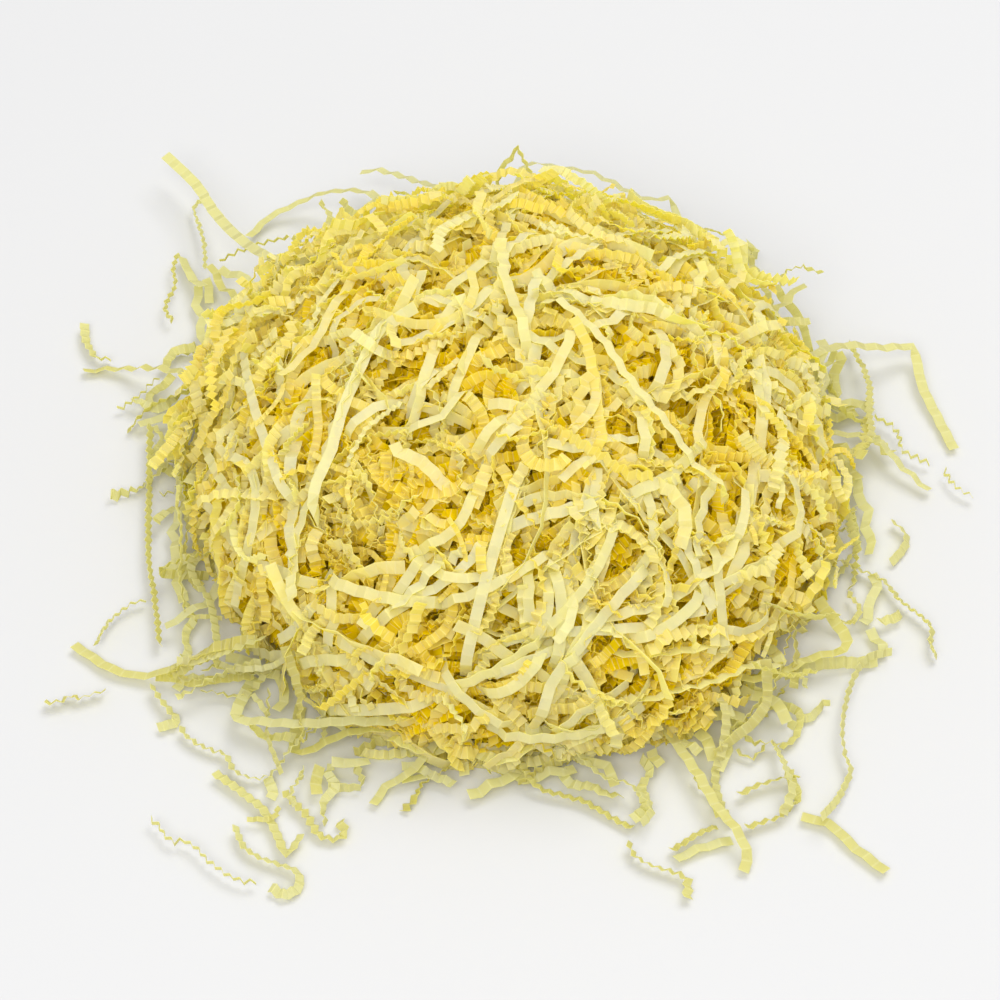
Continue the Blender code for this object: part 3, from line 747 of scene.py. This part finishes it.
def heap_height(plan):
    """Height of the heap's surface over each place: the top radius times the root of what the two
    level offsets, each over its radius and squared, leave of 1."""
    offset = (plan - HEAP_CENTRE[:2]) / HEAP_RADII[:2]
    return HEAP_RADII[2] * np.sqrt(np.maximum(1.0 - np.sum(offset ** 2, axis=1), 0.0))


def bowed_route(row, lift):
    """Places along a strip that lies on the heap: a straight line from start to end, pushed to its
    left by the bow times 4t(1 - t), lifted to the heap's surface and over it by the lift, with both
    ends dipped into it."""
    start, end = np.array(row[:2]) * MM, np.array(row[2:4]) * MM
    share = np.linspace(0.0, 1.0, LYING_STATIONS)[:, None]
    left = unit(np.array([start[1] - end[1], end[0] - start[0]]))
    plan = start + (end - start) * share + left * row[4] * MM * 4 * share * (1 - share)
    route = np.column_stack([plan, heap_height(plan) + lift])
    ends = route[[0, -1]] + unit(route[[0, -1]] - route[[1, -2]]) * END_DIP
    ends = ends - heap_normal(ends) * END_DIP
    route = np.vstack([ends[:1], route, ends[1:]])
    route[:, 2] = np.maximum(route[:, 2], FLOOR_CLEARANCE)
    return route


chance = np.random.default_rng(31)
for side, rows in LYING.items():
    for number, row in enumerate(rows, start=1):
        route = bowed_route(row, chance.uniform(*LYING_LIFT))
        leans = chance.normal(0.0, LYING_LEAN, 2)
        corners, shade = laid_strip(chance, route, RELAXED, heap_normal, *leans)
        name = f"lying_{side}_{number}"
        place_piece(name, ribbon_mesh(name, corners, shade), crown_paper)


# --- Strips on the floor ----------------------------------------------------------------------
# Strips that have slid off the heap and make an open lattice round its foot: pale relaxed ones that
# lie flat, and crimped ones that stand on edge or lie on their side.  Most lie on the floor; those
# at the back left and some on the right stand out of the heap's edge.

# Of each: where it starts and ends, how far it bows to the left in between, and its height, in
# millimetres.
LATTICE = {
    "back_left_crimped": [
        (-46, 81, -42, 70, -1, 20), (-42, 82, -33, 81, -2, 18), (-20, 83, -27, 77, 0, 20),
        (-27, 76, -24, 71, -2, 20), (-84, 43, -76, 50, 0, 3), (-67, 56, -67, 41, 1, 12)],
    "back_left_relaxed": [
        (-38, 75, -36, 67, 0, 20), (-35, 87, -32, 77, 1, 17), (-9, 75, -23, 62, -3, 26),
        (-74, 73, -66, 60, 0, 5), (-71, 72, -63, 66, 0, 6), (-75, 70, -73, 64, 0, 3),
        (-77, 68, -74, 50, 0, 3), (-73, 45, -65, 57, 1, 9), (-64, 54, -64, 38, 0, 14)],
    "left_crimped": [
        (-81, 39, -86, 31, -1, 3), (-90, 31, -79, 32, -1, 3), (-76, 24, -84, 24, 5, 3),
        (-82, 20, -77, 10, -4, 2), (-73, 15, -75, 3, 0, 4), (-82, 5, -75, 6, 0, 2),
        (-74, 0, -82, -6, -2, 3)],
    "left_relaxed": [
        (-88, 25, -77, 29, -1, 3), (-77, -3, -76, -19, -1, 4), (-73, 0, -70, -15, -1, 5),
        (-70, -15, -79, -21, 0, 5), (-76, -12, -75, -28, 0, 3), (-64, -18, -78, -36, 3, 5)],
    "front_left_crimped": [
        (-73, -28, -74, -44, 1, 3), (-69, -48, -52, -49, 1, 4), (-69, -54, -54, -59, 3, 3),
        (-75, -51, -69, -48, 0, 2), (-53, -75, -53, -81, 0, 2), (-45, -73, -47, -83, -2, 3),
        (-40, -72, -42, -87, 1, 3), (-35, -72, -40, -78, 4, 2), (-51, -83, -57, -87, 1, 2),
        (-60, -61, -48, -67, -1, 4), (-58, -53, -47, -56, 10, 4), (-47, -67, -36, -66, 3, 5)],
    "front_left_relaxed": [
        (-52, -49, -52, -59, 1, 4), (-43, -73, -43, -80, 0, 3), (-40, -73, -32, -72, 0, 4),
        (-25, -76, -17, -75, 0, 2), (-64, -44, -48, -46, -2, 4)],
    "right_crimped": [
        (72, -7, 76, -9, 0, 3), (63, -31, 74, -33, -1, 3), (75, -25, 75, -34, 0, 3),
        (80, -34, 85, -31, 0, 3), (68, 43, 60, 41, -1, 18), (68, 67, 62, 61, -1, 12),
        (68, 65, 72, 62, 0, 14)],
    "right_relaxed": [
        (61, 35, 68, 25, 0, 9), (69, 43, 70, 19, -1, 6), (74, 45, 71, 26, -1, 5),
        (72, 27, 79, 28, 0, 3), (73, 30, 83, 30, 0, 3), (71, 21, 79, -14, 3, 3),
        (68, 18, 68, 7, 0, 4), (71, 13, 70, -10, 1, 4), (69, -14, 70, -24, 0, 3),
        (80, -20, 76, -34, 1, 3), (78, -35, 81, -42, 0, 2), (68, 37, 68, 24, 0, 13),
        (71, 42, 70, 23, 0, 13), (76, 45, 73, 29, 0, 5), (67, 53, 57, 38, -1, 20),
        (75, 31, 83, 29, 0, 3), (71, 18, 77, 6, 2, 5), (68, 10, 67, -2, 0, 14)],
    "front_right_crimped": [
        (27, -70, 25, -87, 1, 3), (46, -61, 56, -68, -1, 3), (47, -68, 53, -67, -2, 2),
        (55, -55, 56, -67, 6, 2), (61, -59, 68, -56, 0, 2), (38, -74, 43, -85, 0, 2),
        (33, -67, 39, -70, 0, 4), (56, -85, 58, -74, -2, 2), (53, -47, 62, -55, 3, 6)],
    "front_right_relaxed": [
        (40, -61, 49, -61, 0, 5), (45, -60, 43, -74, 1, 3), (39, -64, 42, -72, 0, 4),
        (28, -70, 31, -72, 0, 4), (48, -55, 58, -63, 2, 6), (39, -56, 46, -63, 1, 8)],
    "front_crimped": [
        (9, -74, 22, -80, -2, 3), (-25, -73, -14, -78, 1, 3)],
    "front_relaxed": [
        (-14, -68, -11, -75, 0, 3), (-11, -80, 5, -65, -3, 3), (-4, -74, 12, -73, -2, 3),
        (12, -70, 21, -78, 1, 4)],
}

# The small wave along a strip: its length, and the range of its heights in millimetres.
WIGGLE_LENGTH = 9.0 * MM
WIGGLE_HEIGHTS = (0.2, 1.0)
RISE_PER_WIGGLE = 0.7
FLOOR_STATIONS = 13
LOWEST_MIDDLE = 1.6 * MM

# The spread of lean, in radians, of relaxed and of crimped strips; every third crimped one is a
# sliver.
FLAT_LEAN = 0.3
CRIMPED_LEAN = 0.9
SLIVER_EVERY = 3


def floor_route(chance, row):
    """Places along a strip on the floor: a straight line pushed to its left by the bow times
    4t(1 - t), with a small wave added to its way and to its height."""
    start, end = np.array(row[:2]) * MM, np.array(row[2:4]) * MM
    share = np.linspace(0.0, 1.0, FLOOR_STATIONS)[:, None]
    left = unit(np.array([start[1] - end[1], end[0] - start[0]]))
    wave = share * np.linalg.norm(end - start) / WIGGLE_LENGTH * 2 * np.pi
    wave = wave + chance.uniform(0.0, 2 * np.pi)
    bow = row[4] * 4 * share * (1 - share) + chance.uniform(*WIGGLE_HEIGHTS) * np.sin(wave)
    plan = start + (end - start) * share + left * bow * MM
    height = row[5] + chance.uniform(*WIGGLE_HEIGHTS) * np.cos(wave * RISE_PER_WIGGLE)
    return np.hstack([plan, np.maximum(height * MM, LOWEST_MIDDLE)])


chance = np.random.default_rng(57)
for place, rows in LATTICE.items():
    for number, row in enumerate(rows, start=1):
        relaxed = place.endswith("relaxed")
        spread = FLAT_LEAN if relaxed else CRIMPED_LEAN
        state = RELAXED if relaxed else SLIVER if number % SLIVER_EVERY == 0 else CRIMPED
        corners, shade = laid_strip(chance, floor_route(chance, row), state, upward,
                                    *chance.normal(0.0, spread, 2))
        name = f"floor_{place}_{number}"
        place_piece(name, ribbon_mesh(name, corners, shade), floor_paper_painted_shade)


# --- Trailing strips --------------------------------------------------------------------------
# Crimped strips that spill from the foot of the heap and are held by nothing but its weight, in the
# darker, duller copy of the yellow paper that is painted shade for strips near the floor: long ones that
# run round the foot and short ones that point outwards, all the way round.

# Of each spread: its middle as an angle about the heap from +X and its width, how far its strips
# swing outwards from running round the heap, all in degrees, their count, stations and reach, the
# share of the heap's radius at which they start.
TRAILS = {"left": (176, 26, (-12, 6), 11, 30, (0.93, 1.04)),
          "back_left": (140, 18, (-12, 8), 8, 26, (0.92, 1.03)),
          "back": (90, 32, (-12, 30), 24, 24, (0.92, 1.06)),
          "back_right": (40, 20, (-12, 25), 14, 24, (0.92, 1.05)),
          "right": (355, 16, (-12, 10), 7, 24, (0.93, 1.04)),
          "front_right": (318, 14, (-10, 60), 9, 18, (0.90, 1.04)),
          "front": (262, 18, (-12, 4), 10, 24, (0.90, 0.97)),
          "front_left": (220, 14, (-10, 60), 11, 18, (0.90, 1.05))}

# The rate of turning in radians a metre and its change, the spread of lean in radians, the height
# and length of the ripples in millimetres, and how high a strip starts and how soon it comes down.
TRAIL_TURNING = 9.0
TRAIL_TURN_CHANGE = 500.0
TRAIL_LEAN = 1.1
RIPPLE = 1.6
RIPPLE_LENGTHS = (4.0, 9.0)
TOP_START = 18.0 * MM
SINK_LENGTH = 18.0 * MM


def floor_paths(chance, step, kink, start, heading_angle, turn, height):
    """Middle lines of strips that leave the heap and run out over the floor: each starts at its
    place and heading, turns at its own, slowly changing rate, and sinks from its first height to
    the floor along an exponential curve, with a sine ripple of its own."""
    count, stations = step.shape
    turn = turn + chance.normal(0.0, TRAIL_TURNING, count)
    turn_change = chance.normal(0.0, TRAIL_TURN_CHANGE, count)
    travelled = np.cumsum(step, axis=1) - step
    angle = heading_angle[:, None] + turn[:, None] * travelled
    angle = angle + turn_change[:, None] * travelled ** 2 / 2 + np.cumsum(kink, axis=1)
    x = start[:, :1] + np.cumsum(np.cos(angle) * step, axis=1)
    y = start[:, 1:2] + np.cumsum(np.sin(angle) * step, axis=1)
    ripple = chance.uniform(0.0, RIPPLE, (count, 1)) * MM
    ripple_length = chance.uniform(*RIPPLE_LENGTHS, (count, 1)) * MM
    ripple = ripple * (1.0 + np.sin(travelled / ripple_length))
    z = height[:, None] * np.exp(-travelled / SINK_LENGTH) + FLOOR_CLEARANCE + ripple
    return np.stack([x, y, z], axis=-1)


def out_on_the_floor(step, kink):
    """Paths from the foot of the heap, running round it or swinging outwards from it."""
    facing = np.radians(chance.normal(middle_angle, spread / 2, count))
    swing = np.radians(chance.uniform(*swing_range, count))
    side = np.where(chance.random(count) < 0.5, 1.0, -1.0)
    start = np.stack([np.cos(facing), np.sin(facing)], axis=1)
    start = start * HEAP_RADII[:2] * chance.uniform(*reach, count)[:, None] + HEAP_CENTRE[:2]
    heading = facing + side * (np.pi / 2 - swing)
    height = chance.uniform(0.0, 1.0, count) ** 1.3 * TOP_START
    return floor_paths(chance, step, kink, start, heading, side / HEAP_RADII[1], height)


for place, (middle_angle, spread, swing_range, count, stations, reach) in TRAILS.items():
    middle, corners = crimped_strips(chance, count, stations, LOOSE_FACET, LOOSE_SLOPES,
                                     out_on_the_floor, TRAIL_LEAN)
    shade = chance.uniform(0.0, 0.15, middle.shape[:2]) + chance.uniform(0.0, 0.8, (count, 1))
    mesh = ribbon_mesh(f"trailing_{place}", corners, shade)
    place_piece(f"trailing_{place}", mesh, floor_paper_painted_shade)


# --- Floor and light --------------------------------------------------------------------------
# A plain white floor, two large soft lights, one high at the back right and one in front, and a
# bright, even surround.

FLOOR_HALF = 3.0
floor_mesh = bpy.data.meshes.new("floor")
floor_mesh.from_pydata([(-FLOOR_HALF, -FLOOR_HALF, 0), (FLOOR_HALF, -FLOOR_HALF, 0),
                        (FLOOR_HALF, FLOOR_HALF, 0), (-FLOOR_HALF, FLOOR_HALF, 0)], [],
                       [(0, 1, 2, 3)])
floor = bpy.data.objects.new("floor", floor_mesh)
bpy.context.scene.collection.objects.link(floor)
floor_paint = bpy.data.materials.new("floor")
floor_paint.use_nodes = True
paint_shader = floor_paint.node_tree.nodes["Principled BSDF"]
paint_shader.inputs["Base Color"].default_value = (0.548, 0.548, 0.551, 1.0)
paint_shader.inputs["Roughness"].default_value = 0.7
floor_mesh.materials.append(floor_paint)


def soft_light(name, place, size, power, colour):
    """A square area light aimed at the heap."""
    lamp = bpy.data.lights.new(name, "AREA")
    lamp.size = size
    lamp.energy = power
    lamp.color = colour
    holder = bpy.data.objects.new(name, lamp)
    bpy.context.scene.collection.objects.link(holder)
    holder.location = place
    holder.rotation_euler = (-Vector(place)).to_track_quat("-Z", "Y").to_euler()


soft_light("key", (0.40, 0.50, 1.30), 0.9, 11.5, (1.0, 1.0, 1.0))
soft_light("front_fill", (-0.25, -1.0, 1.25), 1.0, 17.0, (1.0, 1.0, 1.0))
world = bpy.data.worlds.new("surround")
world.use_nodes = True
world.node_tree.nodes["Background"].inputs["Color"].default_value = (1.0, 1.0, 1.0, 1.0)
world.node_tree.nodes["Background"].inputs["Strength"].default_value = 0.73
bpy.context.scene.world = world
bpy.context.scene.view_settings.view_transform = "Standard"
